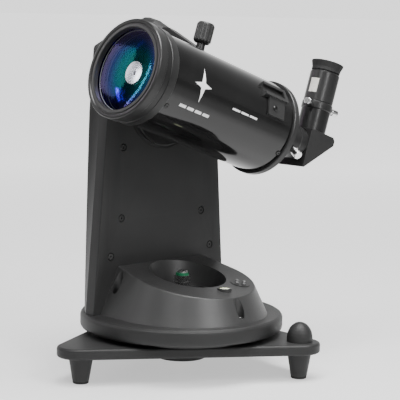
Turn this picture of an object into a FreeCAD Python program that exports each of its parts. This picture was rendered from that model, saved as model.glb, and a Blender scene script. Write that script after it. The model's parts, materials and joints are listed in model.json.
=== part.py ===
import FreeCAD, Part
import Sketcher
import math
import os

# Tabletop catadioptric telescope on a motorised single-arm mount.
# Millimetres, +Z up. Origin on the table plane under the azimuth axis.
# The tube stands on the -Y side of the arm and looks towards -X and up.

os.makedirs("parts", exist_ok=True)
doc = FreeCAD.newDocument("telescope")
V3 = FreeCAD.Vector

VALUES = {
    "footCircle": 141.0, "footAngle": 176.6, "padHeight": 3.0, "footTopRadius": 13.6,
    "footLowRadius": 9.2, "boardLow": 29.5, "boardThick": 12.0, "cornerRadius": 23.0,
    "boardEdge": 3.0, "bossRadius": 29.0, "bossLow": 11.0, "capRadius": 14.4, "capHeight": 22.0,
    "trackInner": 80.0, "trackOuter": 97.0, "trackThick": 4.8, "boltRadius": 6.0, "boltTop": 111.0,
    "rearCellRadius": 55.1, "discRadius": 115.6, "discLow": 46.5, "discTop": 64.5, "runFit": 0.05,
    "baseArc": 91.0, "topArc": 74.8, "arcShift": -10.0, "shellWall": 3.0,
    "plateauBack": 117.7, "plateauTilt": 11.7, "bowlFloor": 88.0, "bowlFloorRadius": 38.5,
    "bowlShift": -11.5, "bowlRimRadius": 47.5, "panelFace": 35.4, "shellDepth": 14.0,
    "coverDepth": 23.0, "panelEdge": 1.2, "coverEdge": 6.0, "housingEdge": 2.5,
    "armLowHalf": 101.0, "armHighHalf": 80.6, "coverHalf": 84.2, "armTop": 397.6,
    "backEdgeShift": 3.0, "midX": 23.92, "midY": -2.4521,
    "altHeight": 301.5, "axleRadius": 20.0, "bushRadius": 25.0, "hubRadius": 50.0, "hubThick": 5.5,
    "tubeOffset": -37.2, "tubeTilt": 18.7, "pivotStation": 132.1, "tubeRadius": 52.1, "tubeWall": 1.5,
    "cellRadius": 55.1, "tubeLength": 225.0, "lensRadius": 47.4, "clearRadius": 45.2,
    "lensFrontCurve": 140.0, "lensRearCurve": 145.0, "spotRadius": 13.0, "mirrorRadius": 46.0,
    "baffleOuter": 11.0, "backRadius": 21.0, "barrelRadius": 15.875, "prismHalfWidth": 20.0,
    "socketRadius": 17.4, "socketStation": 304.0, "holderScrewHeight": 50.4,
    "knobRadius": 10.4, "knobStation": 145.0,
    "saddleHalf": 33.0, "barHalf": 22.0, "eyeBodyRadius": 17.6, "buttonRadius": 3.2,
    "screwHead": 3.8, "thumbRadius": 5.2, "focusRadius": 9.0,
}
sheet = doc.addObject("Spreadsheet::Sheet", "Sizes")
for row, (word, number) in enumerate(VALUES.items(), start=1):
    sheet.set("A%d" % row, word)
    sheet.set("B%d" % row, str(number))
    sheet.setAlias("B%d" % row, word)
doc.recompute()

NODES = {}


def q(word, plus=0.0, times=1.0):
    """A sheet value, scaled and shifted: (number, expression)."""
    return (VALUES[word] * times + plus, "Sizes.%s * %r + %r" % (word, times, plus))


def num(value):
    return value[0] if isinstance(value, tuple) else float(value)


def bind(obj, prop, value):
    if isinstance(value, tuple):
        obj.setExpression(prop, value[1])
    else:
        setattr(obj, prop, value)


def keep(label, obj):
    NODES[label] = obj
    obj.Label = label
    return obj


def place(origin, xdir=(1, 0, 0), zdir=(0, 0, 1)):
    """Placement whose local X and Z run along the given directions."""
    zaxis = V3(*zdir).normalize()
    xaxis = V3(*xdir)
    xaxis = (xaxis - zaxis * xaxis.dot(zaxis)).normalize()
    rot = FreeCAD.Rotation(xaxis, zaxis.cross(xaxis), zaxis, "ZXY")
    return FreeCAD.Placement(V3(*origin), rot)


def polar(radius, angle, z=0.0):
    t = math.radians(angle)
    return (radius * math.cos(t), radius * math.sin(t), z)


def role(body, name):
    return [f for f in body.Origin.OriginFeatures if f.Role == name][0]


def draw(sk, points):
    """Closed chain of straight lines, every corner held by two dimensions."""
    flat = [V3(num(a), num(b), 0) for a, b in points]
    count = len(flat)
    for i in range(count):
        sk.addGeometry(Part.LineSegment(flat[i], flat[(i + 1) % count]), False)
    for i in range(count):
        sk.addConstraint(Sketcher.Constraint("Coincident", i, 2, (i + 1) % count, 1))
    for i, (a, b) in enumerate(points):
        for kind, value in (("DistanceX", a), ("DistanceY", b)):
            n = sk.addConstraint(Sketcher.Constraint(kind, -1, 1, i, 1, num(value)))
            if isinstance(value, tuple):
                sk.setExpression("Constraints[%d]" % n, value[1])
    return sk


def closed_sketch(body, plane, points, name):
    sk = body.newObject("Sketcher::SketchObject", name)
    sk.AttachmentSupport = [(role(body, plane), "")]
    sk.MapMode = "FlatFace"
    return draw(sk, points)


def section(points, y):
    """Outline in the world XZ plane, standing at the given y."""
    sk = doc.addObject("Sketcher::SketchObject", "section")
    draw(sk, points)
    sk.Placement = FreeCAD.Placement(V3(0, y, 0), FreeCAD.Rotation(V3(1, 0, 0), 90.0))
    sk.Visibility = False
    return sk


def between(*sections):
    o = doc.addObject("Part::Loft", "between")
    o.Sections = list(sections)
    o.Solid = True
    o.Ruled = True
    return o


def softened(obj, rules):
    """Round the edges of a shape; rules are (radius, test) pairs, first match wins."""
    doc.recompute()
    edges = []
    for i, e in enumerate(obj.Shape.Edges):
        for radius, test in rules:
            if test(e):
                edges.append((i + 1, radius, radius))
                break
    fil = doc.addObject("Part::Fillet", "softened")
    fil.Base = obj
    fil.Edges = edges
    return fil


def turned(label, points, where=None):
    """Body of revolution about its local Z; points are (radius, height)."""
    body = doc.addObject("PartDesign::Body", label + "_body")
    sk = closed_sketch(body, "XZ_Plane", points, label + "_profile")
    rev = body.newObject("PartDesign::Revolution", label + "_turn")
    rev.Profile = sk
    rev.ReferenceAxis = (sk, ["V_Axis"])
    rev.Angle = 360.0
    sk.Visibility = False
    if where is not None:
        body.Placement = where
    return body


def plate(label, points, height, where=None):
    """Flat outline in local XY raised along local Z."""
    body = doc.addObject("PartDesign::Body", label + "_body")
    sk = closed_sketch(body, "XY_Plane", points, label + "_outline")
    pad = body.newObject("PartDesign::Pad", label + "_pad")
    pad.Profile = sk
    bind(pad, "Length", height)
    sk.Visibility = False
    if where is not None:
        body.Placement = where
    return body


def rounded(body, radius, test):
    """Fillet the edges of the tip that pass the test."""
    doc.recompute()
    names = ["Edge%d" % (i + 1) for i, e in enumerate(body.Tip.Shape.Edges) if test(e)]
    fil = body.newObject("PartDesign::Fillet", "round_edges")
    fil.Base = (body.Tip if fil.BaseFeature is None else fil.BaseFeature, names)
    bind(fil, "Radius", radius)
    body.Tip = fil
    return body


def upright(e):
    d = e.tangentAt(e.FirstParameter)
    return abs(abs(d.z) - 1) < 1e-6 and isinstance(e.Curve, Part.Line)


def level(e):
    return abs(e.BoundBox.ZLength) < 1e-6


def cyl(radius, height, where):
    o = doc.addObject("Part::Cylinder", "cyl")
    bind(o, "Radius", radius)
    bind(o, "Height", height)
    o.Placement = where
    return o


def cone(low, high, height, where):
    o = doc.addObject("Part::Cone", "cone")
    bind(o, "Radius1", low)
    bind(o, "Radius2", high)
    bind(o, "Height", height)
    o.Placement = where
    return o


def ball(radius, where):
    o = doc.addObject("Part::Sphere", "ball")
    bind(o, "Radius", radius)
    o.Placement = where
    return o


def box(lo, hi, where=None):
    """Box from corner lo to corner hi, in the frame given by where."""
    o = doc.addObject("Part::Box", "box")
    o.Length = hi[0] - lo[0]
    o.Width = hi[1] - lo[1]
    o.Height = hi[2] - lo[2]
    base = FreeCAD.Placement(V3(*lo), FreeCAD.Rotation())
    o.Placement = base if where is None else where.multiply(base)
    return o


def fuse(*objs):
    o = doc.addObject("Part::MultiFuse", "join")
    o.Shapes = list(objs)
    o.Refine = True
    return o


def common(*objs):
    o = doc.addObject("Part::MultiCommon", "common")
    o.Shapes = list(objs)
    return o


def cut(base, *tools):
    o = doc.addObject("Part::Cut", "cut")
    o.Base = base
    o.Tool = tools[0] if len(tools) == 1 else fuse(*tools)
    return o


def group(*objs):
    o = doc.addObject("Part::Compound", "group")
    o.Links = list(objs)
    return o


def ring(label, inner, outer, low, high, where=None):
    return turned(label, [(inner, low), (outer, low), (outer, high), (inner, high)], where)


FIT = VALUES["runFit"]

# ---- base: board, feet, pivot ------------------------------------------------
foot_angles = [VALUES["footAngle"] + 120.0 * i for i in range(3)]
foot_names = ["foot_left", "foot_front", "foot_rear"]
# the edge between the left and the rear foot stands a little further out
edge_normal = polar(1.0, foot_angles[0] - 60.0)
tri = []
for angle, other in zip(foot_angles, (60.0, None, -60.0)):
    corner = polar(1.0, angle)
    drift = (0.0, 0.0)
    if other is not None:
        next_normal = polar(1.0, angle + other)
        drift = [(edge_normal[k] + 0.5 * next_normal[k]) / 0.75 for k in (0, 1)]
    pair = []
    for k in (0, 1):
        reach = VALUES["footCircle"] + 2 * VALUES["cornerRadius"]
        text = "(Sizes.footCircle + 2 * Sizes.cornerRadius) * %r + Sizes.backEdgeShift * %r"
        pair.append((reach * corner[k] + VALUES["backEdgeShift"] * drift[k], text % (corner[k], drift[k])))
    tri.append(tuple(pair))
board = plate("board", tri, q("boardThick"), place((0, 0, VALUES["boardLow"])))
rounded(board, q("cornerRadius"), upright)
rounded(board, q("boardEdge"), level)
boss = cone(q("bossRadius", -1), q("bossRadius"), q("boardLow", -VALUES["bossLow"] + 1),
            place((0, 0, VALUES["bossLow"])))
keep("base_board", cut(fuse(board, boss), cyl(q("boltRadius", 0.02), 60.0, place((0, 0, 24.0))),
                       cyl(9.02, 7.0, place((0, 0, 24.0))), cyl(9.02, 14.0, place((0, 0, 10.0)))))
keep("tripod_insert", ring("insert", 3.97, 9.0, 11.0, 23.8))
for name, angle in zip(foot_names, foot_angles):
    post = cone(q("footLowRadius"), q("footTopRadius"), q("boardLow", -VALUES["padHeight"]),
                place(polar(VALUES["footCircle"], angle, VALUES["padHeight"])))
    keep(name, cut(post, cyl(3.0, 14.0, place(polar(VALUES["footCircle"], angle, 2.0)))))
pads = []
for i, angle in enumerate(foot_angles):
    pads.append(turned("pad%d" % i, [
        (0, 1.0), (5.5, 1.0), (6.0, 0), (8.3, 0), (8.9, 0.6), (8.9, 3.0), (2.8, 3.0), (2.8, 7.0), (0, 7.0)],
        place(polar(VALUES["footCircle"], angle))))
keep("foot_pads", group(*pads))
dome = [(0, 0), (q("capRadius"), 0), (q("capRadius"), 4.0)]
for step in range(1, 8):
    t = math.radians(90.0 * step / 8)
    rise = (4.0 + (VALUES["capHeight"] - 4.0) * math.sin(t),
            "4.0 + (Sizes.capHeight - 4.0) * %r" % math.sin(t))
    dome.append((q("capRadius", 0, math.cos(t)), rise))
dome.append((0, q("capHeight")))
board_top = VALUES["boardLow"] + VALUES["boardThick"]
keep("corner_cap", turned("cap", dome, place(polar(VALUES["footCircle"], foot_angles[1], board_top))))
keep("azimuth_bearing", ring("track", q("trackInner"), q("trackOuter"), board_top, board_top + 4.8))
keep("azimuth_bolt", turned("bolt", [(0, 24.0), (9.0, 24.0), (9.0, 31.0), (q("boltRadius"), 31.0),
                                     (q("boltRadius"), q("boltTop", -1)), (q("boltRadius", -1), q("boltTop")),
                                     (0, q("boltTop"))]))


def hexagon(across, bore_radius, low, high, label):
    pts = [polar(across / math.sqrt(3.0), 60.0 * k)[:2] for k in range(6)]
    return cut(plate(label, pts, high - low, place((0, 0, low))),
               cyl(bore_radius, high - low + 4, place((0, 0, low - 2))))


keep("pivot_washers", group(ring("washer_low", q("boltRadius", 0.02), 11.0, 88.2, 90.2),
                            ring("washer_mid", q("boltRadius", 0.02), 9.6, 97.2, 98.7)))
keep("pivot_nut", hexagon(17.0, 6.02, 90.2, 97.2, "nut"))
keep("lock_nut", hexagon(17.0, 6.02, 98.7, 105.7, "locknut"))
keep("lock_nut_insert", ring("insert_ring", q("boltRadius", 0.02), 7.6, 105.7, 108.6))

# ---- turntable ----------------------------------------------------------------
bore = q("boltRadius", FIT)
keep("turntable_disc", turned("disc", [
    (bore, 46.5), (16.0, 46.5), (16.0, 60.5), (79.0, 60.5), (79.0, 46.5), (98.0, 46.5), (98.0, 60.5),
    (q("discRadius", -5), 60.5), (q("discRadius", -5), 46.5), (q("discRadius", -3.6), 46.5),
    (q("discRadius", -1.6), 47.3), (q("discRadius", -0.4), 49.2), (q("discRadius"), 51.6),
    (q("discRadius"), 60.0), (q("discRadius", -0.4), 61.8), (q("discRadius", -1.4), 63.4),
    (q("discRadius", -3.2), q("discTop")), (bore, q("discTop"))]))

face = VALUES["panelFace"]
slope = math.radians(VALUES["plateauTilt"])
back_z = VALUES["plateauBack"]


def plateau_z(y):
    return back_z - math.tan(slope) * (face - y)


# frame on the sloping top: local X along X, local Z square to the surface
def on_plateau(x, y, lift=0.0):
    normal = (0, -math.sin(slope), math.cos(slope))
    return place((x, y + normal[1] * lift, plateau_z(y) + normal[2] * lift), (1, 0, 0), normal)


def housing_solid(inset, drop):
    top = 128.0
    rise = (top - VALUES["discTop"])
    arc_rate = (VALUES["baseArc"] - VALUES["topArc"]) / 34.5
    front = cone(q("baseArc", -inset), q("baseArc", -inset - arc_rate * rise), rise,
                 place((0, VALUES["arcShift"], VALUES["discTop"])))
    wide = VALUES["baseArc"] - inset
    narrow = wide - arc_rate * rise
    outline = [(-wide, 0), (wide, 0), (narrow, rise), (-narrow, rise)]
    # the straight rear half is tangent to the cone; stand it up so its thickness runs along Y
    stand = place((0, face, VALUES["discTop"]), (1, 0, 0), (0, -1, 0))
    rear = plate("rear_wedge", outline, face - VALUES["arcShift"], stand)
    lid = box((-150, -200, 0), (150, 200, 90), on_plateau(0, 0, -drop))
    return cut(fuse(front, rear), lid)


outer_sharp = housing_solid(0.0, 0.0)


def housing_edge(e):
    b = e.BoundBox
    return b.ZMin > VALUES["discTop"] + 1.0 and not (b.YMin > face - 0.5)


outer = softened(outer_sharp, [(VALUES["housingEdge"], housing_edge)])
inner = housing_solid(VALUES["shellWall"], VALUES["shellWall"])
bowl_low = VALUES["bowlFloor"]
rim = on_plateau(0, 0)
bowl_rate = (VALUES["bowlRimRadius"] - VALUES["bowlFloorRadius"]) / 34.0
bowl_out = cut(cone(q("bowlFloorRadius", 2), q("bowlRimRadius", 2 + bowl_rate * 3), 37.0,
                    place((0, VALUES["bowlShift"], bowl_low - 3))), box((-150, -200, 0), (150, 200, 90), rim))
bowl_out = common(bowl_out, outer)
bowl_in = cone(q("bowlFloorRadius"), q("bowlRimRadius"), 34.0, place((0, VALUES["bowlShift"], bowl_low)))
hub = ring("housing_hub", bore, 16.0, 64.5, 86.0)
wells = [(0, -93.0), (-74.0, 26.0), (74.0, 26.0)]
well_out = [common(cyl(8.0, 45.0, place((x, y, 64.5))), outer) for x, y in wells]
well_in = [cyl(5.6, 60.0, place((x, y, 70.0))) for x, y in wells]
screw_bore = [cyl(2.55, 10.0, place((x, y, 62.0))) for x, y in wells]
pockets = [box((x, -12, bowl_low - 1.5), (x + 18, 4, bowl_low + 1)) for x in (-33, 15)]
key_x, key_y = 40.0, -54.0
level_x, level_y = 4.0, -65.0
level_top = plateau_z(level_y) + 2.0
key_frame = on_plateau(key_x, key_y)
shell = cut(outer, inner)
shell = fuse(shell, bowl_out, hub, *well_out)
key_hole = cyl(9.9, 12.0, on_plateau(key_x, key_y, -8.0))
keep("drive_housing", cut(shell, bowl_in, *well_in, *screw_bore, *pockets, key_hole,
                          cyl(8.02, 20.0, place((level_x, level_y, level_top - 7.0))),
                          cyl(bore, 40.0, place((0, 0, 60.0))),
                          box((-150, face, 0), (150, 80, 150))))
keep("level_cup", cut(cyl(8.0, 7.4, place((level_x, level_y, level_top - 7.0))),
                      cyl(6.4, 6.0, place((level_x, level_y, level_top - 4.6)))))
keep("level_vial", turned("vial", [(0, 0), (6.38, 0), (6.38, 3.6), (5.4, 4.6), (0, 5.0)],
                          place((level_x, level_y, level_top - 4.6))))
spots = {"button_up": (0, 5.6), "button_down": (0, -5.6), "button_left": (-5.6, 0), "button_right": (5.6, 0)}
key_plate = cyl(11.4, 0.6, on_plateau(key_x, key_y, 0.0))
key_cup = cyl(9.86, 6.0, on_plateau(key_x, key_y, -5.9))
key_void = cyl(8.9, 4.6, on_plateau(key_x, key_y, -4.6))
holes = []
for x, y in spots.values():
    holes.append(cyl(q("buttonRadius", -0.9 + FIT), 12.0, key_frame.multiply(place((x, y, -3.0)))))
keep("keypad_plate", cut(fuse(key_plate, key_cup), key_void, *holes))
for name, (x, y) in spots.items():
    keep(name, turned(name + "_cap", [
        (0, -3.4), (2.6, -3.4), (2.6, -2.4), (q("buttonRadius", -0.9), -2.4), (q("buttonRadius", -0.9), 1.9),
        (1.6, 2.4), (0, 2.5)], key_frame.multiply(place((x, y, 0.0)))))

# ---- arm ------------------------------------------------------------------------
joint_y = face + VALUES["shellDepth"]
back_y = joint_y + VALUES["coverDepth"]
high = q("armHighHalf")
# right half of the outline at the panel face, at the joint between the shells and at the back
outline_face = [(q("armLowHalf"), q("discTop")), (high, 330.0), (77.5, 347.5), (30.0, 372.5), (4.0, 385.5)]
outline_joint = [(q("armLowHalf"), q("discTop")), (high, 335.0), (77.5, 355.5), (30.0, 379.5), (4.0, 392.5)]
outline_back = [(q("coverHalf"), q("discTop")), (q("coverHalf"), 275.0), (77.8, 368.0), (52.0, 381.0),
                (3.0, q("armTop"))]


def arm_section(half, inset, y):
    """Full closed outline from its right half, drawn in by the inset."""
    right = []
    for i, (a, b) in enumerate(half):
        down = -inset if i == 0 else inset * (0.3 if i == 1 else 1.0)
        right.append((num(a) - (inset if i < 3 else inset * 0.3), num(b) - down))
    left = [(-a, b) for a, b in reversed(right)]
    return section(right + left, y)


def arm_solid(inset, *stations):
    return between(*[arm_section(half, inset, y) for half, y in stations])


def flat_at(y):
    """Edges lying wholly in one plane across Y."""
    return lambda e: abs(e.BoundBox.YMin - y) < 1e-4 and abs(e.BoundBox.YMax - y) < 1e-4


def off_floor(test):
    return lambda e: e.BoundBox.ZMax > VALUES["discTop"] + 1.0 and test(e)


def shoulder(e):
    return e.BoundBox.YLength > 5.0 and 300.0 < e.BoundBox.ZMin < 370.0


front_out = arm_solid(0.0, (outline_face, face), (outline_joint, joint_y))
front_out = softened(front_out, [(VALUES["panelEdge"], off_floor(flat_at(face))), (6.0, shoulder)])
wall = VALUES["shellWall"]
front_in = arm_solid(wall, (outline_face, face + wall), (outline_joint, joint_y + 1.0))
bush_hole = cyl(q("bushRadius"), 60.0, place((0, face - 5, VALUES["altHeight"]), (1, 0, 0), (0, 1, 0)))
panel_spots = [(s * x, z) for x, z in ((76.7, 129.3), (61.7, 171.4), (60.2, 251.4)) for s in (-1, 1)]
seats = [cyl(4.6, 2.6, place((x, face - 1, z), (1, 0, 0), (0, 1, 0))) for x, z in panel_spots]
stems = [cyl(1.82, 9.0, place((x, face - 1, z), (1, 0, 0), (0, 1, 0))) for x, z in panel_spots]
ring_groove = cut(cyl(53.5, 1.0, place((0, face - 0.4, VALUES["altHeight"]), (1, 0, 0), (0, 1, 0))),
                  cyl(52.5, 3.0, place((0, face - 1, VALUES["altHeight"]), (1, 0, 0), (0, 1, 0))))
keep("arm_front_shell", cut(front_out, front_in, bush_hole, ring_groove, *seats, *stems))
rear_out = arm_solid(0.0, (outline_joint, joint_y), (outline_back, back_y))
rear_out = softened(rear_out, [(VALUES["coverEdge"], off_floor(flat_at(back_y))), (6.0, shoulder)])
rear_in = arm_solid(wall, (outline_joint, joint_y - 1.0), (outline_back, back_y - wall))
keep("arm_rear_cover", cut(rear_out, rear_in))


def small_screw(where, head=3.8, length=7.0, rise=1.5):
    return turned("screw", [
        (0, 0.6), (1.1, rise - 0.9), (1.1, rise), (head - 0.6, rise), (head, rise - 0.6), (head, 0), (1.8, 0),
        (1.8, -length), (0, -length)], where)


screws = []
for x, z in panel_spots:
    screws.append(small_screw(place((x, face + 1.6, z), (1, 0, 0), (0, -1, 0)), 4.2, 5.6, 1.4))
keep("panel_screws", group(*screws))
screws = []
for x, y in wells:
    screws.append(small_screw(place((x, y, 70.0)), 4.4, 5.0, 2.2))
keep("housing_screws", group(*screws))
keep("azimuth_motor", fuse(box((22, -18, 64.5), (52, 18, 83.0)),
                           cyl(8.0, 24.0, place((37, -2, 74.0), (1, 0, 0), (0, 1, 0)))))
keep("altitude_motor", fuse(box((-18, face + 3.0, 196), (18, 62, 240)),
                            cyl(8.5, 40.0, place((0, 53, 160)))))
keep("circuit_board", fuse(box((-45, 50.5, 105), (45, 52.1, 150)), *[
    cyl(3.0, 12.2, place((x, 38.4, z), (1, 0, 0), (0, 1, 0))) for x in (-40, 40) for z in (110, 145)]))
keep("altitude_bearing", ring("bush", q("axleRadius", FIT), q("bushRadius"), 0.0, 16.0,
                              place((0, face + 0.1, VALUES["altHeight"]), (1, 0, 0), (0, 1, 0))))

# ---- altitude unit -----------------------------------------------------------------
tilt = math.radians(VALUES["tubeTilt"])
rear_dir = (math.cos(tilt), 0, -math.sin(tilt))
up_dir = (math.sin(tilt), 0, math.cos(tilt))
station = VALUES["pivotStation"]
tube_y = VALUES["tubeOffset"]
lip = (-rear_dir[0] * station, tube_y, VALUES["altHeight"] - rear_dir[2] * station)
OTA = place(lip, up_dir, rear_dir)


def ota(x=0.0, y=0.0, s=0.0, xdir=(1, 0, 0), zdir=(0, 0, 1)):
    """Frame inside the tube's own axes: x is up, y towards the open side, s rearwards."""
    return OTA.multiply(place((x, y, s), xdir, zdir))


def side_y(world_y):
    return tube_y - world_y


hub_y = face - 0.5
keep("altitude_hub", turned("alt_hub", [
    (0, -18.0), (q("axleRadius"), -18.0), (q("axleRadius"), 0.0), (q("hubRadius", -0.8), 0.0),
    (q("hubRadius"), 0.8), (q("hubRadius"), 4.7), (q("hubRadius", -0.8), q("hubThick")), (0, q("hubThick"))],
    place((0, hub_y, VALUES["altHeight"]), up_dir, (0, -1, 0))))
keep("altitude_wheel", turned("alt_wheel", [
    (0, 0), (8.0, 0), (8.0, -1.0), (q("axleRadius", 14), -1.0), (q("axleRadius", 14), 6.0), (0, 6.0)],
    place((0, hub_y + 24.0, VALUES["altHeight"]), up_dir, (0, -1, 0))))
half = VALUES["saddleHalf"]
bar = VALUES["barHalf"]
sad_in = side_y(hub_y - VALUES["hubThick"])
bar_in = sad_in + 7.0
bar_out = bar_in + 8.6
plate_sad = box((-half, sad_in, station - 40), (62.0, bar_in, station + 40), OTA)
low_jaw = plate("low_jaw", [(-half, 0), (-bar + 0.02, 0), (-bar + 5.2, 8.4), (-half, 8.4)], 80.0,
                OTA.multiply(place((0, bar_in, station - 40))))
lug = box((46.0, bar_in, station - 14), (62.0, bar_in + 17.0, station + 34), OTA)
jaw_slot_y = bar_in + 8.5
knob_s = VALUES["knobStation"]
shaft_frame = ota(35.4, jaw_slot_y, knob_s, (0, 0, 1), (1, 0, 0))
shaft_bore = cyl(5.55, 60.0, shaft_frame)
keep("saddle", cut(fuse(plate_sad, low_jaw, lug), shaft_bore))
jaw_pts = [(bar - 0.02, 0.05), (35.0, 0.05), (35.0, 14.0), (29.0, 14.0), (bar - 5.2, 8.4)]
keep("clamp_jaw", plate("jaw", jaw_pts, 60.0, OTA.multiply(place((0, bar_in, station - 30)))))
knob_pts = [(0, 0), (5.5, 0), (5.5, 28.0), (4.9, 39.5), (8.6, 39.5), (q("knobRadius"), 42.0),
            (q("knobRadius"), 60.5), (8.8, 63.0), (0, 63.0)]
flutes = []
for k in range(16):
    flute_at = place(polar(VALUES["knobRadius"] + 0.35, 22.5 * k, 40.0))
    flutes.append(cyl(1.1, 30.0, shaft_frame.multiply(flute_at)))
keep("clamp_knob", cut(turned("knob", knob_pts, shaft_frame), *flutes))
bar_pts = [(-bar, 0.0), (bar, 0.0), (bar - 5.4, 8.6), (bar - 5.4, 9.6), (-bar + 5.4, 9.6), (-bar + 5.4, 8.6)]
keep("dovetail_bar", cut(plate("bar", bar_pts, 172.0, OTA.multiply(place((0, bar_in + 0.0, 44.0)))),
                         cyl(q("tubeRadius"), 240.0, ota())))

# optical tube, front to rear
tr = q("tubeRadius")
keep("optical_tube", ring("main_tube", q("tubeRadius", -VALUES["tubeWall"]), tr, 12.0, 221.0, OTA))
keep("front_cell", turned("cell", [
    (50.4, 1.4), (51.2, 0.3), (53.0, 0.0), (54.4, 0.5), (q("cellRadius"), 1.6), (q("cellRadius"), 10.6),
    (54.5, 11.3), (53.6, 11.9), (53.6, 18.7), (54.2, 19.2), (54.2, 28.4), (53.8, 29.0),
    (q("tubeRadius", 0.02), 29.0),
    (q("tubeRadius", 0.02), 11.9), (50.3, 11.9), (50.3, 29.0), (q("clearRadius", -0.6), 29.0),
    (q("clearRadius", -0.6), 22.5), (q("lensRadius", 0.05), 22.5), (q("lensRadius", 0.05), 7.0), (48.6, 7.0),
    (48.6, 1.4)], OTA))
keep("retaining_ring", turned("retainer", [
    (q("clearRadius"), 1.0), (46.2, 0.6), (48.56, 0.6), (48.56, 7.0), (q("clearRadius", 0.6), 7.0),
    (q("clearRadius"), 6.0)], OTA))
front_c = 16.0 - VALUES["lensFrontCurve"]
rear_c = 26.0 - VALUES["lensRearCurve"]
blank = common(cyl(q("lensRadius"), 30.0, ota(s=4.0)), ball(q("lensRearCurve"), ota(s=rear_c)))
keep("corrector_lens", cut(blank, ball(q("lensFrontCurve"), ota(s=front_c))))
spot_shell = cut(ball(q("lensRearCurve", 0.3), ota(s=rear_c)), ball(q("lensRearCurve"), ota(s=rear_c)))
keep("secondary_mirror", common(spot_shell, cyl(q("spotRadius"), 20.0, ota(s=15.0))))
keep("secondary_baffle", turned("sec_baffle", [
    (q("spotRadius", 0.4), 25.42), (q("spotRadius", 1.6), 25.32), (16.6, 46.0), (15.6, 46.0)], OTA))
keep("primary_mirror", cut(ring("primary", 14.0, q("mirrorRadius"), 184.0, 196.0, OTA),
                           ball(500.0, ota(s=187.0 - 500.0))))
keep("mirror_carrier", turned("carrier", [
    (q("baffleOuter", FIT), 178.0), (13.97, 178.0), (13.97, 196.0), (40.0, 196.0), (40.0, 200.0),
    (16.0, 202.0), (16.0, 206.0), (q("baffleOuter", FIT), 206.0)], OTA))
keep("baffle_tube", turned("baffle", [
    (9.6, 96.0), (10.2, 96.0), (q("baffleOuter"), 150.0), (q("baffleOuter"), 216.0), (20.0, 216.0),
    (20.0, 221.0), (9.6, 221.0)], OTA))
focus_x, focus_y = -8.0, -37.0
skirt = q("tubeRadius", -VALUES["tubeWall"] - 0.02)
rear_plug = turned("rear_skirt", [
    (49.0, 212.0), (skirt, 212.0), (skirt, 221.0), (q("rearCellRadius"), 221.0), (q("rearCellRadius"), 223.6),
    (q("rearCellRadius", -1.4), 225.0), (16.6, 225.0), (16.6, 221.0), (49.0, 221.0)], OTA)
lip_ring = turned("rear_lip", [
    (q("tubeRadius", 0.02), 216.6), (q("rearCellRadius", -0.6), 216.6), (q("rearCellRadius"), 217.4),
    (q("rearCellRadius"), 221.5), (q("tubeRadius", 0.02), 221.5)], OTA)
keep("rear_cell", cut(fuse(rear_plug, lip_ring), cyl(3.05, 20.0, ota(focus_x, focus_y, 210.0))))
back_tube = turned("back", [
    (14.0, 221.2), (16.58, 221.2), (16.58, 225.0), (25.0, 225.0), (25.0, 232.0), (q("backRadius"), 236.0),
    (q("backRadius"), 270.0), (20.4, 272.0), (20.4, 275.2), (19.6, 276.0), (q("barrelRadius", FIT), 276.0),
    (q("barrelRadius", FIT), 236.0), (14.0, 236.0)], OTA)
focus_frame = ota(focus_x, focus_y, 0.0)
keep("focus_knob", turned("focus", [
    (0, 214.0), (3.0, 214.0), (3.0, 226.0), (6.0, 226.0), (6.0, 229.0), (q("focusRadius"), 229.8),
    (q("focusRadius"), 248.0), (8.0, 249.4), (0, 249.4)], focus_frame))
cell_bolts = []
for turn in (3.0, 123.0, 243.0):
    t = math.radians(turn)
    out = (math.cos(t), math.sin(t), 0)
    for s_at, r_at in ((33.6, 52.1), (213.5, 52.1)):
        spot = ota(out[0] * r_at, out[1] * r_at, s_at, (0, 0, 1), out)
        cell_bolts.append(turned("cell_bolt", [
            (0, 0.7), (1.2, 0.5), (1.3, 1.1), (2.2, 1.1), (2.9, 0.5), (2.9, 0.04), (1.3, 0.04), (1.3, -1.4),
            (0, -1.4)], spot))
keep("cell_screws", group(*cell_bolts))


def around(theta, radius, s_at):
    """Frame on the tube wall: local Z points outwards, local X runs rearwards."""
    t = math.radians(theta)
    out = (math.cos(t), math.sin(t), 0)
    return ota(out[0] * radius, out[1] * radius, s_at, (0, 0, 1), out)


shoe_mid = 53.0
shoe_block = box((-18.5, -8.5, -4.0), (18.5, 8.5, 4.6), around(shoe_mid, VALUES["tubeRadius"], 184.5))
shoe_slot = box((-20.0, -4.6, 1.4), (14.0, 4.6, 6.0), around(shoe_mid, VALUES["tubeRadius"], 184.5))
shoe_mouth = box((-20.0, -3.4, 0.0), (14.0, 3.4, 8.0), around(shoe_mid, VALUES["tubeRadius"], 184.5))
shoe_tab = box((-13.0, -9.5, -3.0), (13.0, 13.0, 1.8), around(74.0, VALUES["tubeRadius"], 186.0))
keep("finder_shoe", cut(fuse(shoe_block, shoe_tab), shoe_slot, cyl(q("tubeRadius", 0.02), 240.0, ota()),
                        cyl(1.32, 9.0, around(74.0, 49.0, 183.0))))
keep("shoe_screw", turned("shoe_bolt", [
    (0, 2.7), (1.2, 2.4), (1.4, 3.3), (2.8, 3.3), (3.2, 2.7), (3.2, 1.9), (1.3, 1.9), (1.3, -1.6), (0, -1.6)],
    around(74.0, VALUES["tubeRadius"], 183.0)))

# ---- diagonal and eyepiece -----------------------------------------------------------
half_w = VALUES["prismHalfWidth"]
front_s = 284.0
prism_pts = [(-27.0, front_s), (19.5, front_s), (19.5, 324.5), (16.0, 328.0), (10.0, 328.0),
             (-27.0, front_s + 2.6)]
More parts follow.
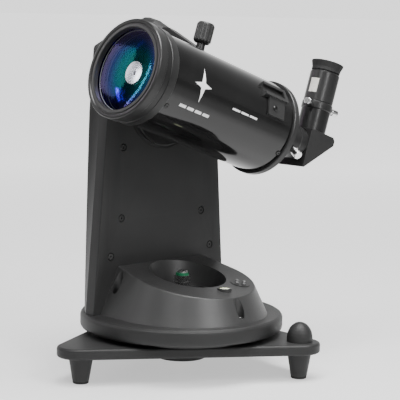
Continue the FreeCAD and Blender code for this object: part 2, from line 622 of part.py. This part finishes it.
# outline lies in the (up, rearwards) plane, thickness runs along the tube's y
body_frame = OTA.multiply(place((0, half_w, 0), (1, 0, 0), (0, -1, 0)))
housing = plate("prism_housing", prism_pts, q("prismHalfWidth", 0, 2.0), body_frame)
rounded(housing, 0.8, lambda e: True)
socket_s = VALUES["socketStation"]
up_frame = ota(0, 0, socket_s, (0, 0, 1), (1, 0, 0))
socket = turned("socket", [
    (15.0, 14.0), (q("socketRadius"), 14.0), (q("socketRadius"), 45.6), (q("socketRadius", 1.0), 46.6),
    (q("socketRadius", 1.0), 54.0), (q("socketRadius", 0.2), 54.8), (15.0, 54.8)], up_frame)
nose = turned("nose", [(14.2, 240.0), (q("barrelRadius"), 240.0), (q("barrelRadius"), 276.4), (19.0, 276.4),
                       (19.0, 285.0), (14.2, 285.0)], OTA)
light_in = cyl(14.2, 60.0, ota(s=238.0))
light_out = cyl(q("barrelRadius", FIT), 38.0, up_frame.multiply(place((0, 0, 21.5))))
glass_pts = [(15.0, 289.0), (15.0, 319.0), (-15.0, 289.0)]
cavity_pts = [(15.3, 288.7), (15.3, 320.0), (-16.0, 288.7)]
cavity = plate("cavity", cavity_pts, 30.6, OTA.multiply(place((0, 15.3, 0), (1, 0, 0), (0, -1, 0))))
neck_in = cyl(13.5, 12.0, up_frame.multiply(place((0, 0, 14.0))))
# directions of the three clamp screws around their tubes
holder_dirs = {"holder_screw_left": (-0.95, 0.31), "holder_screw_right": (0.98, 0.2)}
tips = []
for name, (ds, dy) in holder_dirs.items():
    size = math.hypot(ds, dy)
    out = (0, dy / size, ds / size)
    frame = ota(VALUES["holderScrewHeight"], 0, socket_s, (1, 0, 0), out)
    tips.append(cyl(2.05, 30.0, frame.multiply(place((0, 0, 10.0)))))
    keep(name, turned(name + "_turn", [
        (0, 16.3), (1.6, 16.3), (2.0, 16.8), (2.0, 21.0), (3.2, 21.0), (3.2, 23.0), (4.2, 23.2), (4.2, 30.0),
        (3.6, 30.6), (0, 30.6)], frame))
keep("diagonal_body", cut(fuse(housing, socket, nose), light_in, light_out, cavity, neck_in, *tips))
prism_frame = OTA.multiply(place((0, 15.0, 0), (1, 0, 0), (0, -1, 0)))
keep("diagonal_prism", plate("glass", glass_pts, 30.0, prism_frame))
back_angle = 124.0
t = math.radians(back_angle)
back_frame = ota(0, 0, 264.0, (0, 0, 1), (math.cos(t), math.sin(t), 0))
keep("visual_back", cut(back_tube, cyl(2.05, 20.0, back_frame.multiply(place((0, 0, 12.0))))))
keep("visual_back_screw", turned("back_screw", [
    (0, 16.3), (1.6, 16.3), (2.0, 16.8), (2.0, 22.0), (4.4, 22.0), (4.6, 25.0), (q("thumbRadius"), 25.4),
    (q("thumbRadius"), 33.0), (4.6, 33.8), (0, 33.8)], back_frame))
keep("eyepiece_barrel", ring("eye_barrel", 14.4, q("barrelRadius"), 24.0, 55.1, up_frame))
keep("eyepiece_body", turned("eye_body", [
    (12.5, 55.1), (q("eyeBodyRadius", -0.6), 55.1), (q("eyeBodyRadius"), 55.7), (q("eyeBodyRadius"), 91.0),
    (q("eyeBodyRadius", -0.8), 92.0), (16.2, 92.6), (15.6, 93.0), (15.6, 97.4), (11.0, 97.4), (11.0, 90.0),
    (12.5, 88.0)], up_frame))
lens_ball = ball(30.0, up_frame.multiply(place((0, 0, 57.2))))
keep("eye_lens", common(cyl(12.3, 8.0, up_frame.multiply(place((0, 0, 80.0)))), lens_ball))
keep("eyecup", turned("cup", [
    (15.62, 93.4), (q("eyeBodyRadius", -0.6), 93.4), (q("eyeBodyRadius", -0.4), 97.4), (19.2, 103.4),
    (19.2, 104.4), (17.8, 104.4), (15.8, 99.0), (13.0, 99.0), (13.0, 97.5), (15.62, 97.5)], up_frame))

# ---- check and write --------------------------------------------------------------------
doc.recompute()
bad = []
span = FreeCAD.BoundBox()
for label, obj in NODES.items():
    for o in [obj] + list(obj.OutListRecursive):
        if "Invalid" in o.State or "Error" in o.State:
            bad.append("%s: %s" % (label, o.Label))
    shape = obj.Shape
    if shape.isNull() or not shape.isValid() or not shape.Solids:
        bad.append("%s shape" % label)
        continue
    shape = shape.copy()
    shape.translate(V3(-VALUES["midX"], -VALUES["midY"], 0))
    shape.exportStep("parts/%s.step" % label)
    b = shape.optimalBoundingBox()
    span.add(b)
    print("%-20s solids %d  vol %.1f  x %.1f %.1f  y %.1f %.1f  z %.1f %.1f" % (
        label, len(shape.Solids), shape.Volume / 1000.0, b.XMin, b.XMax, b.YMin, b.YMax, b.ZMin, b.ZMax))
print(len(NODES), "nodes, overall", span, "middle", span.Center, "problems:", bad)
if bad:
    raise SystemExit(1)
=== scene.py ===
import bpy
import bmesh
import json
import math
from mathutils import Matrix, Vector


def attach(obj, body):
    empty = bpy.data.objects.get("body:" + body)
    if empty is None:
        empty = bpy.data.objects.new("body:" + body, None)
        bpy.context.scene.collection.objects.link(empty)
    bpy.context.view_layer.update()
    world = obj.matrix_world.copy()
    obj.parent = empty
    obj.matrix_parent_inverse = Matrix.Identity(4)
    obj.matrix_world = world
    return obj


# Tabletop catadioptric telescope. Metres in the row frame; the drawing's own sizes are in millimetres.
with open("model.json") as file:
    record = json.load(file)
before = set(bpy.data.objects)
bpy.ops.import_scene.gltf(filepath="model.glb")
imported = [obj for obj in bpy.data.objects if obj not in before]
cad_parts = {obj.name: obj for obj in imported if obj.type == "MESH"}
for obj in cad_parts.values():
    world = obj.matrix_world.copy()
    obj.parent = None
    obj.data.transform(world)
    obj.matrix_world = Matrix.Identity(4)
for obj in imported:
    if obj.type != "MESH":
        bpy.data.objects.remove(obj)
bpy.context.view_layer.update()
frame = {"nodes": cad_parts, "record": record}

MM = 0.001
MID = Vector((23.92, -2.4521, 0.0))      # plan centre of the object in the drawing's own frame
TUBE_Y = -37.2                           # tube axis, beside the arm
AXIS_Z = 301.5                           # height of the altitude axis
STATION = 132.1                          # front lip to altitude axis, along the tube
TUBE_TILT = math.radians(18.7)
TUBE_RADIUS = 52.1
UP = Vector((math.sin(TUBE_TILT), 0, math.cos(TUBE_TILT)))
BACK = Vector((math.cos(TUBE_TILT), 0, -math.sin(TUBE_TILT)))
OPEN = Vector((0, -1, 0))
LIP = Vector((0, TUBE_Y, AXIS_Z)) - BACK * STATION


def here(x, y, z):
    """A point of the drawing, in metres in the row frame."""
    return (Vector((x, y, z)) - MID) * MM


def tube_frame():
    """4x4 of the tube's own axes: x up, y to the open side, z rearwards from the front lip."""
    m = Matrix((UP, OPEN, BACK)).transposed().to_4x4()
    m.translation = here(*LIP)
    return m


def grey(v):
    return (v, v, v)


# ---- shader helpers --------------------------------------------------------------------------
def node(nt, kind, **inputs):
    """New node; each input is linked when its value is a socket, and set to it otherwise."""
    n = nt.nodes.new("ShaderNode" + kind)
    for key, value in inputs.items():
        socket = n.inputs[key.replace("_", " ")]
        if isinstance(value, bpy.types.NodeSocket):
            nt.links.new(value, socket)
        else:
            socket.default_value = value
    return n


def ramp(nt, source, stops):
    """Colour that follows a value through (position, colour) stops."""
    n = nt.nodes.new("ShaderNodeValToRGB")
    marks = n.color_ramp.elements
    while len(marks) < len(stops):
        marks.new(0.5)
    for mark, (position, colour) in zip(marks, stops):
        mark.position = position
        mark.color = (*colour, 1.0)
    nt.links.new(source, n.inputs[0])
    return n.outputs["Color"]


def part_way(nt, value, low, high):
    """0 to 1 as a value goes from low to high."""
    return node(nt, "MapRange", Value=value, From_Min=low, From_Max=high).outputs["Result"]


def vector_math(nt, operation, first, second=None):
    """First output of a vector math node; the second operand is a constant or a socket."""
    n = nt.nodes.new("ShaderNodeVectorMath")
    n.operation = operation
    nt.links.new(first, n.inputs[0])
    if isinstance(second, bpy.types.NodeSocket):
        nt.links.new(second, n.inputs[1])
    elif second:
        n.inputs[1].default_value = second
    return n.outputs["Value"] if operation in ("DOT_PRODUCT", "LENGTH") else n.outputs["Vector"]


def mix_colour(nt, factor, first, second):
    n = nt.nodes.new("ShaderNodeMix")
    n.data_type = "RGBA"
    nt.links.new(factor, n.inputs["Factor"])
    nt.links.new(first, n.inputs["A"])
    n.inputs["B"].default_value = (*second, 1)
    return n.outputs["Result"]


def mix_shader(nt, factor, first, second):
    n = nt.nodes.new("ShaderNodeMixShader")
    for socket, source in zip(n.inputs, (factor, first, second)):
        nt.links.new(source, socket)
    return n.outputs[0]


# ---- materials -------------------------------------------------------------------------------
COAT_ROUGH = 0.03
BUMP_DEPTH = 0.0002                      # metres
WORN_FROM, WORN_FULL = 0.52, 0.62        # pointiness where wear starts and where it is complete
WORN_GAIN, WORN_LIFT = 3.0, 0.05         # how much paler a worn edge is
LEAST_ROUGH = 0.02


def surface(name, low, high, rough, metal=0.0, grain=900.0, bump=0.15, blotch=18.0, coat=0.0,
            spread=0.08, ior=1.45, edge_wear=0.0, shine=0.5):
    """Principled material: blotchy colour, grain in the bump, varied roughness and worn edges."""
    m = bpy.data.materials.new(name)
    m.use_nodes = True
    nt = m.node_tree
    bsdf = nt.nodes["Principled BSDF"]
    bsdf.inputs["Metallic"].default_value = metal
    bsdf.inputs["IOR"].default_value = ior
    bsdf.inputs["Specular IOR Level"].default_value = shine
    bsdf.inputs["Coat Weight"].default_value = coat
    bsdf.inputs["Coat Roughness"].default_value = COAT_ROUGH
    spot = nt.nodes.new("ShaderNodeTexCoord").outputs["Object"]
    broad = node(nt, "TexNoise", Vector=spot, Scale=blotch, Detail=4.0, Roughness=0.6).outputs["Fac"]
    fine = node(nt, "TexNoise", Vector=spot, Scale=grain, Detail=3.0, Roughness=0.55).outputs["Fac"]
    shade = ramp(nt, broad, [(0.3, low), (0.7, high)])
    if edge_wear:
        point = nt.nodes.new("ShaderNodeNewGeometry").outputs["Pointiness"]
        worn = ramp(nt, point, [(WORN_FROM, grey(0.0)), (WORN_FULL, grey(edge_wear))])
        shade = mix_colour(nt, worn, shade, [min(1.0, c * WORN_GAIN + WORN_LIFT) for c in high])
    nt.links.new(shade, bsdf.inputs["Base Color"])
    varied = node(nt, "MapRange", Value=fine, To_Min=max(LEAST_ROUGH, rough - spread),
                  To_Max=min(1.0, rough + spread))
    nt.links.new(varied.outputs["Result"], bsdf.inputs["Roughness"])
    if bump:
        dents = node(nt, "Bump", Strength=bump, Distance=BUMP_DEPTH, Height=fine)
        nt.links.new(dents.outputs["Normal"], bsdf.inputs["Normal"])
    return m


charcoal = surface("textured_charcoal", grey(0.012), grey(0.016), 0.5, grain=1500.0, bump=0.5,
                   edge_wear=0.16, shine=0.32)
# the charcoal plastic made paler on the drive housing, as painted light on it
housing_lit_charcoal = surface("housing_charcoal_painted_light", grey(0.022), grey(0.027), 0.40, grain=1500.0, bump=0.5,
                       edge_wear=0.1, shine=0.45)
gloss = surface("gloss_black_lacquer", grey(0.004), grey(0.007), 0.07, grain=240.0, bump=0.015,
                coat=0.12, spread=0.02, ior=1.42)
satin = surface("satin_black_anodised", grey(0.008), grey(0.013), 0.30, grain=700.0, bump=0.08,
                edge_wear=0.12, shine=0.36)
lip_black = surface("dark_cell_finish", grey(0.009), grey(0.014), 0.32, grain=800.0, bump=0.06,
                    edge_wear=0.2, shine=0.34)
moulded = surface("black_moulding", grey(0.010), grey(0.016), 0.38, grain=1000.0, bump=0.2,
                  edge_wear=0.15, shine=0.4)
rubber = surface("black_rubber", grey(0.014), grey(0.022), 0.75, grain=1600.0, bump=0.5, shine=0.25)
steel = surface("plated_steel", grey(0.5), grey(0.62), 0.26, metal=1.0, bump=0.06)
black_steel = surface("black_screw_steel", grey(0.006), grey(0.012), 0.16, bump=0.1)
chrome = surface("bright_chrome", grey(0.75), grey(0.85), 0.2, metal=1.0, grain=500.0, bump=0.02,
                 spread=0.05)
brass = surface("turned_brass", (0.5, 0.34, 0.1), (0.62, 0.45, 0.16), 0.3, metal=1.0)
nylon = surface("green_nylon", (0.01, 0.12, 0.05), (0.02, 0.17, 0.08), 0.2, bump=0.05)
fluid = surface("vial_fluid", (0.80, 0.88, 0.42), (0.92, 0.96, 0.70), 0.25, coat=0.4, bump=0.0)
board = surface("green_board", (0.01, 0.1, 0.04), (0.02, 0.16, 0.06), 0.3)
legend = surface("grey_legend", grey(0.09), grey(0.13), 0.35, bump=0.1)
white_print = surface("white_print", grey(0.70), grey(0.78), 0.35, bump=0.03, grain=600.0)
label = surface("pale_label", (0.42, 0.41, 0.38), (0.56, 0.55, 0.51), 0.35, bump=0.03, grain=600.0,
                blotch=160.0)
mirror = surface("silvered", grey(0.86), grey(0.92), 0.22, metal=1.0, bump=0.0, spread=0.02)
flock = surface("flat_black_inside", grey(0.0015), grey(0.003), 0.9, bump=0.3, shine=0.1)

# the corrector, by its radius in metres
SILVERED = 0.0127                        # silvered spot in its middle
SILVER_EDGE = 0.0004                     # softness of the spot's rim
CLEAR, GROUND = 0.0437, 0.0452           # where the ground bevel starts and ends
SILVER = (0.5, 0.52, 0.58, 1)
SILVER_ROUGH = 0.2
GROUND_GLASS = (0.16, 0.17, 0.19, 1)
BEVEL = [(0.0, grey(0.0)), (0.25, grey(0.0)), (0.4, grey(1.0)),
         (0.6, grey(1.0)), (0.75, grey(0.0)), (1.0, grey(0.0))]
COATING = [(0.0, (0.05, 0.8, 0.6)), (0.5, (0.05, 0.75, 0.75)), (0.75, (0.15, 0.3, 0.95)),
           (0.88, (0.4, 0.38, 0.95)), (1.0, (0.62, 0.46, 0.95))]
PLAIN_SHEEN = [(0.3, (0.9, 0.9, 0.95)), (0.7, (0.8, 0.85, 0.95))]
DEEP = 0.92                              # how much darker the glass is in its deeper blotches


def tube_vector(nt):
    """Position in the tube's own frame, in metres."""
    axes = tube_frame()
    turn = nt.nodes.new("ShaderNodeMapping")
    turn.vector_type = "TEXTURE"
    turn.inputs["Location"].default_value = axes.translation
    turn.inputs["Rotation"].default_value = axes.to_euler()
    nt.links.new(nt.nodes.new("ShaderNodeTexCoord").outputs["Object"], turn.inputs["Vector"])
    return turn.outputs["Vector"]


def glass(name, tint, back_tint, rough, ior, corrector):
    """See-through glass with a sheen off each side.

    On the corrector the front sheen changes with the radius, the rim is ground and the middle silvered.
    """
    m = bpy.data.materials.new(name)
    m.use_nodes = True
    nt = m.node_tree
    nt.nodes.clear()
    vector = tube_vector(nt)
    radius = vector_math(nt, "LENGTH", vector_math(nt, "MULTIPLY", vector, (1, 1, 0)))
    noise = node(nt, "TexNoise", Vector=vector, Scale=22.0, Detail=2.0).outputs["Fac"]
    body = ramp(nt, noise, [(0.35, tint), (0.65, tuple(c * DEEP for c in tint))])
    if corrector:
        front = ramp(nt, part_way(nt, radius, 0.0, CLEAR), COATING)
    else:
        front = ramp(nt, noise, PLAIN_SHEEN)
    back = nt.nodes.new("ShaderNodeNewGeometry").outputs["Backfacing"]
    sheen = node(nt, "BsdfGlossy", Roughness=rough, Color=mix_colour(nt, back, front, back_tint))
    see = node(nt, "BsdfTransparent", Color=body)
    share = node(nt, "Fresnel", IOR=ior).outputs[0]
    last = mix_shader(nt, share, see.outputs[0], sheen.outputs[0])
    if corrector:
        ground = node(nt, "BsdfDiffuse", Color=GROUND_GLASS).outputs[0]
        last = mix_shader(nt, ramp(nt, part_way(nt, radius, CLEAR, GROUND), BEVEL), last, ground)
        silver = node(nt, "BsdfGlossy", Roughness=SILVER_ROUGH, Color=SILVER).outputs[0]
        last = mix_shader(nt, part_way(nt, radius, SILVERED - SILVER_EDGE, SILVERED), silver, last)
    nt.links.new(last, nt.nodes.new("ShaderNodeOutputMaterial").inputs["Surface"])
    return m


corrector_glass = glass("coated_corrector", (0.55, 0.6, 0.62), (0.45, 0.35, 0.85), 0.1, 1.6, True)
clear_glass = glass("polished_glass", (0.85, 0.9, 0.9), (0.7, 0.7, 0.9), 0.06, 1.5, False)

LOOK = {
    "charcoal_plastic": charcoal, "gloss_black": gloss, "satin_black": satin, "black_plastic": moulded,
    "soft_rubber": rubber, "mirror_coat": mirror, "zinc_steel": steel, "black_steel": black_steel,
    "bright_chrome": chrome, "brass": brass, "green_nylon": nylon, "vial_fluid": fluid,
    "board_green": board, "grey_buttons": legend, "coated_glass": corrector_glass,
    "clear_glass": clear_glass,
}
OWN_LOOK = {                             # pieces that differ from the rest of their slot; the drive housing differs only by painted light
    "front_cell": lip_black, "rear_cell": lip_black, "retaining_ring": lip_black,
    "drive_housing": housing_lit_charcoal, "secondary_baffle": flock, "baffle_tube": flock,
}

slots = {row["node"]: row["material_slot"] for row in frame["record"]["subparts"]}
for name, obj in frame["nodes"].items():
    obj.data.materials.clear()
    obj.data.materials.append(OWN_LOOK.get(name, LOOK[slots[name]]))


# ---- prints, which the drawing cannot carry --------------------------------------------------
PRINT_LIFT = 0.16                        # mm off the painted wall
PRINT_GRID = 0.0025                      # longest edge left, in metres, so that a print bends smoothly
PRINT_ROUNDS = 5
EDGE_STEPS = 6


def sheet_on_wall(name, outline, look, wall, body):
    """Thin printed patch bent round a cylinder; outline is (mm along the axis, angle in degrees)."""
    origin, along, zero, quarter, radius = wall
    points = []
    for i, (s0, a0) in enumerate(outline):
        s1, a1 = outline[(i + 1) % len(outline)]
        for k in range(EDGE_STEPS):
            t = k / EDGE_STEPS
            points.append((s0 + (s1 - s0) * t, a0 + (a1 - a0) * t))
    bm = bmesh.new()
    bm.faces.new([bm.verts.new((s * MM, math.radians(a) * radius * MM, 0)) for s, a in points])
    bmesh.ops.triangulate(bm, faces=bm.faces[:])
    for _ in range(PRINT_ROUNDS):
        long = [e for e in bm.edges if e.calc_length() > PRINT_GRID]
        if long:
            bmesh.ops.subdivide_edges(bm, edges=long, cuts=1)
            bmesh.ops.triangulate(bm, faces=bm.faces[:])
    for v in bm.verts:
        s, a = v.co.x, v.co.y / (radius * MM)
        out = zero * math.cos(a) + quarter * math.sin(a)
        v.co = (origin - MID) * MM + along * s + out * radius * MM
    bmesh.ops.recalc_face_normals(bm, faces=bm.faces[:])
    mesh = bpy.data.meshes.new(name)
    bm.to_mesh(mesh)
    bm.free()
    mesh.materials.append(look)
    ob = bpy.data.objects.new(name, mesh)
    bpy.context.scene.collection.objects.link(ob)
    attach(ob, body)


def star(mid_s, mid_a, long, short, waist):
    """Plain four-pointed star on the tube: (s, angle) corners; its sizes in mm along the wall."""
    degrees_per_mm = 180.0 / (math.pi * TUBE_RADIUS)
    corners = []
    for k in range(8):
        size = waist if k % 2 else (long if k in (2, 6) else short)
        t = math.radians(45.0 * k)
        corners.append((mid_s + size * math.cos(t), mid_a + size * math.sin(t) * degrees_per_mm))
    return corners


def panel(s0, s1, a0, a1):
    return [(s0, a0), (s1, a0), (s1, a1), (s0, a1)]


def dashes(name, count, start, pitch, length, a0, a1):
    """Row of plain dashes along the tube, between two angles."""
    for i in range(count):
        s0 = start + pitch * i
        sheet_on_wall("%s_%d" % (name, i), panel(s0, s0 + length, a0, a1), white_print, tube_wall,
                      "altitude_unit")


tube_wall = (LIP, BACK, UP, OPEN, TUBE_RADIUS + PRINT_LIFT)
sheet_on_wall("star_print", star(69.5, 84.0, 19.0, 13.0, 4.2), white_print, tube_wall, "altitude_unit")
dashes("stripe_front", 4, 47.5, 11.8, 9.6, 113.6, 117.2)
dashes("stripe_rear", 3, 119.5, 14.0, 12.0, 94.0, 96.4)
EYE_STATION = 304.0                      # eyepiece axis, along the tube
EYE_RADIUS = 17.7
eye_wall = (LIP + BACK * EYE_STATION, UP, OPEN, -BACK, EYE_RADIUS)
sheet_on_wall("eyepiece_label", panel(64.5, 81.5, 64.0, 100.0), label, eye_wall, "eyepiece")

# ---- floor -----------------------------------------------------------------------------------
BEHIND = (0.69, 0.73)                    # from the camera across the floor
FLOOR_HALF = 60.0
FLOOR_Z = -0.0005
FLOOR_GLOW = 1.6
GLOW_NEAR, GLOW_FAR = 0.42, 1.0          # share of the glow at the object and far behind it
GLOW_FRONT = 0.3                         # share of it left in front and to the sides
# floor colour in the middle, and painted darker in front and to the sides as painted shade
TONE_MIDDLE, SHADED_TONE_FRONT = 0.45, 0.26
FRONT_FALL = ((-0.69, -0.73), 0.3, 0.7)  # direction, and the metres where the fall starts and ends
SIDE_FALLS = (((0.5, -0.87), 0.45, 0.75), ((-1.0, 0.0), 0.3, 0.6))

paper = surface("paper_floor", grey(0.80), grey(0.84), 0.8, bump=0.02, grain=300.0, blotch=2.0,
                shine=0.1)
pt = paper.node_tree
glow = pt.nodes["Principled BSDF"]
place = pt.nodes.new("ShaderNodeTexCoord").outputs["Object"]


def reach(direction, near, far):
    """0 to 1 along one floor direction, between two distances in metres."""
    return part_way(pt, vector_math(pt, "DOT_PRODUCT", place, (*direction, 0.0)), near, far)


# the sheet glows behind and under the object, and its glow and its colour fall off in front of it and
# to its sides; the darker colour there is painted shade
edge = reach(*FRONT_FALL)
for fall in SIDE_FALLS:
    most = pt.nodes.new("ShaderNodeMath")
    most.operation = "MAXIMUM"
    pt.links.new(edge, most.inputs[0])
    pt.links.new(reach(*fall), most.inputs[1])
    edge = most.outputs[0]
floor_painted_shade = ramp(pt, edge, [(0.0, grey(TONE_MIDDLE)), (1.0, grey(SHADED_TONE_FRONT))])
level = ramp(pt, reach(BEHIND, 0.2, 2.2), [(0.0, grey(GLOW_NEAR)), (1.0, grey(GLOW_FAR))])
keep = ramp(pt, edge, [(0.0, grey(1.0)), (1.0, grey(GLOW_FRONT))])
pt.links.new(floor_painted_shade, glow.inputs["Base Color"])
pt.links.new(vector_math(pt, "MULTIPLY", level, keep), glow.inputs["Emission Color"])
glow.inputs["Emission Strength"].default_value = FLOOR_GLOW
mesh = bpy.data.meshes.new("floor")
mesh.from_pydata([(x * FLOOR_HALF, y * FLOOR_HALF, FLOOR_Z)
                  for x, y in ((-1, -1), (1, -1), (1, 1), (-1, 1))], [], [(0, 1, 2, 3)])
floor = bpy.data.objects.new("floor", mesh)
bpy.context.scene.collection.objects.link(floor)
floor.data.materials.append(paper)

# ---- room: pale behind the object near the horizon, dim overhead and elsewhere ------------------
ROOM_GLOW = 2.4
ROOM_BEHIND, ROOM_DIM = 0.68, 0.16
ROOM_FACING = (0.69, 0.72, 0.0)
ROOM_HEIGHT = [(0.0, grey(1.0)), (0.15, grey(1.0)), (0.6, grey(0.08)), (1.0, grey(0.06))]

world = bpy.data.worlds.new("studio")
bpy.context.scene.world = world
world.use_nodes = True
wt = world.node_tree
sky = wt.nodes["Background"]
where = wt.nodes.new("ShaderNodeTexCoord").outputs["Generated"]
height = ramp(wt, node(wt, "SeparateXYZ", Vector=where).outputs["Z"], ROOM_HEIGHT)
side = ramp(wt, vector_math(wt, "DOT_PRODUCT", where, ROOM_FACING),
            [(0.25, grey(ROOM_DIM)), (0.8, grey(ROOM_BEHIND))])
wt.links.new(vector_math(wt, "MULTIPLY", height, side), sky.inputs[0])
sky.inputs[1].default_value = ROOM_GLOW


# ---- lamps -----------------------------------------------------------------------------------
def way_to(azimuth, elevation):
    a, e = math.radians(azimuth), math.radians(elevation)
    return Vector((math.cos(a) * math.cos(e), math.sin(a) * math.cos(e), math.sin(e)))


def lamp(name, aim, direction, distance, size, power, colour):
    """Soft box seen from the aim point along (azimuth, elevation), facing back to it."""
    data = bpy.data.lights.new(name, "AREA")
    data.shape = "RECTANGLE"
    data.size, data.size_y = size
    data.energy = power
    data.color = colour
    way = way_to(*direction)
    ob = bpy.data.objects.new(name, data)
    ob.location = Vector(aim) + way * distance
    ob.rotation_euler = (-way).to_track_quat("-Z", "Y").to_euler()
    ob.visible_camera = False
    bpy.context.scene.collection.objects.link(ob)


WHITE = (1, 1, 1)
PINK = (1.0, 0.75, 1.0)
LENS = here(-128, -37, 345)
BASE = (0, 0, 0.1)
for row in (
        # name, aim, (azimuth, elevation), distance, size, watts, colour
        ("softbox_left", LENS, (147, 25), 1.3, (0.68, 0.68), 3.8, WHITE),
        ("strip_back", LENS, (107, 22), 1.3, (0.05, 0.42), 0.8, PINK),
        ("spot_back", LENS, (119, 21), 1.3, (0.12, 0.12), 0.7, WHITE),
        ("softbox_high_left", BASE, (200, 52), 1.6, (0.4, 0.4), 13.0, WHITE),
        ("softbox_front", BASE, (272, 42), 1.6, (0.4, 0.4), 12.0, WHITE),
        ("softbox_top", (0, 0, 0.15), (262, 78), 1.6, (1.1, 0.8), 66.0, WHITE),
        ("strip_right", (0, 0, 0.3), (258, 24), 1.5, (0.10, 1.0), 9.0, WHITE)):
    lamp(*row)

# ---- camera ----------------------------------------------------------------------------------
SENSOR = 36.0
FOCAL_WIDTHS = 3.824                     # focal length in picture widths
EYE_AT = (-1176.4, -1256.2, 407.5)
azimuth, elevation, roll = (math.radians(v) for v in (-43.74, 7.14, 1.16))

eye = bpy.data.cameras.new("camera")
eye.sensor_width = SENSOR
eye.lens = FOCAL_WIDTHS * SENSOR
cam = bpy.data.objects.new("camera", eye)
bpy.context.scene.collection.objects.link(cam)
toward = Vector((math.sin(azimuth) * math.cos(elevation), -math.cos(azimuth) * math.cos(elevation),
                 math.sin(elevation)))
level_right = Vector((math.cos(azimuth), math.sin(azimuth), 0))
level_up = toward.cross(level_right)
right = level_right * math.cos(roll) + level_up * math.sin(roll)
upward = level_up * math.cos(roll) - level_right * math.sin(roll)
stand = Matrix((right, upward, toward)).transposed().to_4x4()
stand.translation = here(*EYE_AT)
cam.matrix_world = stand
bpy.context.scene.camera = cam
